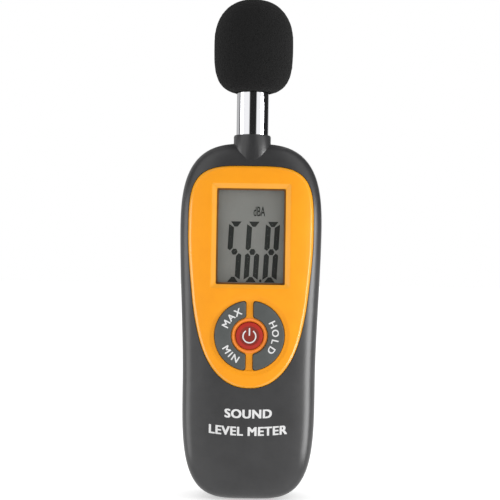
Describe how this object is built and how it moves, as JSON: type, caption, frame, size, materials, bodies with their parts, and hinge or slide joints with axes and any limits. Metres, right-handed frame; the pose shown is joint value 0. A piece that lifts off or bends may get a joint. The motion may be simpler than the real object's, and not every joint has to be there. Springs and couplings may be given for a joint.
{
  "type": "sound level meter",
  "caption": "Hand-held sound level meter: slim tapered case with a coloured front panel, display window, ring of press keys, slender microphone tube and round foam windscreen.",
  "frame": {"origin": "centre of the mouth of the tripod thread in the flat back of the case", "axes": "+Z along the case towards the microphone, +Y out of the back, +X to the right seen from the front"},
  "size_m": [0.0562, 0.0354, 0.1992],
  "materials": {
    "foam": "open-cell foam",
    "tube_metal": "polished",
    "capsule_metal": "satin",
    "black_rubber": "matt",
    "red_wire": "satin",
    "black_wire": "satin",
    "case_plastic": "satin",
    "screw_metal": "zinc plated",
    "label": "satin",
    "panel_plastic": "satin",
    "lens": "clear",
    "lcd_glass": "clear",
    "reflector": "matt",
    "strip_rubber": "matt",
    "frame_plastic": "matt",
    "key_plastic": "satin",
    "power_plastic": "satin",
    "switch_metal": "plated",
    "black_plastic": "matt",
    "board": "solder mask",
    "sleeve": "printed sleeve",
    "trimmer_blue": "satin",
    "trimmer_white": "satin",
    "battery_jacket": "lacquered",
    "insert_brass": "turned"
  },
  "bodies": {
    "meter": {"mic_grid": "tube_metal", "mic_capsule": "capsule_metal", "mic_holder": "black_rubber", "mic_tube": "tube_metal", "mic_lead_signal": "red_wire", "mic_lead_ground": "black_wire", "front_case": "case_plastic", "rear_case": "case_plastic", "case_screws": "screw_metal", "rear_label": "label", "front_panel": "panel_plastic", "window_lens": "lens", "lcd_front_glass": "lcd_glass", "lcd_rear_glass": "lcd_glass", "lcd_reflector": "reflector", "lcd_strip_upper": "strip_rubber", "lcd_strip_lower": "strip_rubber", "lcd_frame": "frame_plastic", "max_min_switch": "black_plastic", "hold_switch": "black_plastic", "power_switch": "black_plastic", "main_board": "board", "board_screws": "screw_metal", "controller_chip": "black_plastic", "amplifier_chip": "black_plastic", "detector_chip": "black_plastic", "crystal": "switch_metal", "capacitors": "sleeve", "shield_can": "switch_metal", "trimmer_body": "trimmer_blue", "battery": "battery_jacket", "battery_terminals": "switch_metal", "battery_snap": "black_plastic", "snap_contacts": "switch_metal", "battery_lead_red": "red_wire", "battery_lead_black": "black_wire", "door_insert": "insert_brass", "tripod_insert": "insert_brass"},
    "windscreen_body": {"windscreen": "foam"},
    "power_key_body": {"power_key": "power_plastic", "power_plunger": "switch_metal"},
    "max_min_key_body": {"max_min_key": "key_plastic", "max_min_plunger": "switch_metal"},
    "hold_key_body": {"hold_key": "key_plastic", "hold_plunger": "switch_metal"},
    "door_body": {"battery_door": "case_plastic", "door_screw": "screw_metal"},
    "trimmer_body_turning": {"trimmer_rotor": "trimmer_white"}
  },
  "joints": [
    {"name": "windscreen_pull", "type": "slide", "parent": "meter", "child": "windscreen_body", "axis": [0, 0, 1], "range_m": [0, 0.03]},
    {"name": "power_key_press", "type": "slide", "parent": "meter", "child": "power_key_body", "axis": [0, 1, 0], "range_m": [0, 0.0005], "stiffness_N_per_m": 4000},
    {"name": "max_min_key_press", "type": "slide", "parent": "meter", "child": "max_min_key_body", "axis": [0, 1, 0], "range_m": [0, 0.0005], "stiffness_N_per_m": 4000},
    {"name": "hold_key_press", "type": "slide", "parent": "meter", "child": "hold_key_body", "axis": [0, 1, 0], "range_m": [0, 0.0005], "stiffness_N_per_m": 4000},
    {"name": "battery_door_open", "type": "hinge", "parent": "meter", "child": "door_body", "pos_m": [0, 0, -0.013], "axis": [1, 0, 0], "range_deg": [0, 70]},
    {"name": "calibration_trimmer_turn", "type": "hinge", "parent": "meter", "child": "trimmer_body_turning", "pos_m": [-0.013, -0.0222, 0.007], "axis": [0, 1, 0], "range_deg": [-135, 135]}
  ]
}
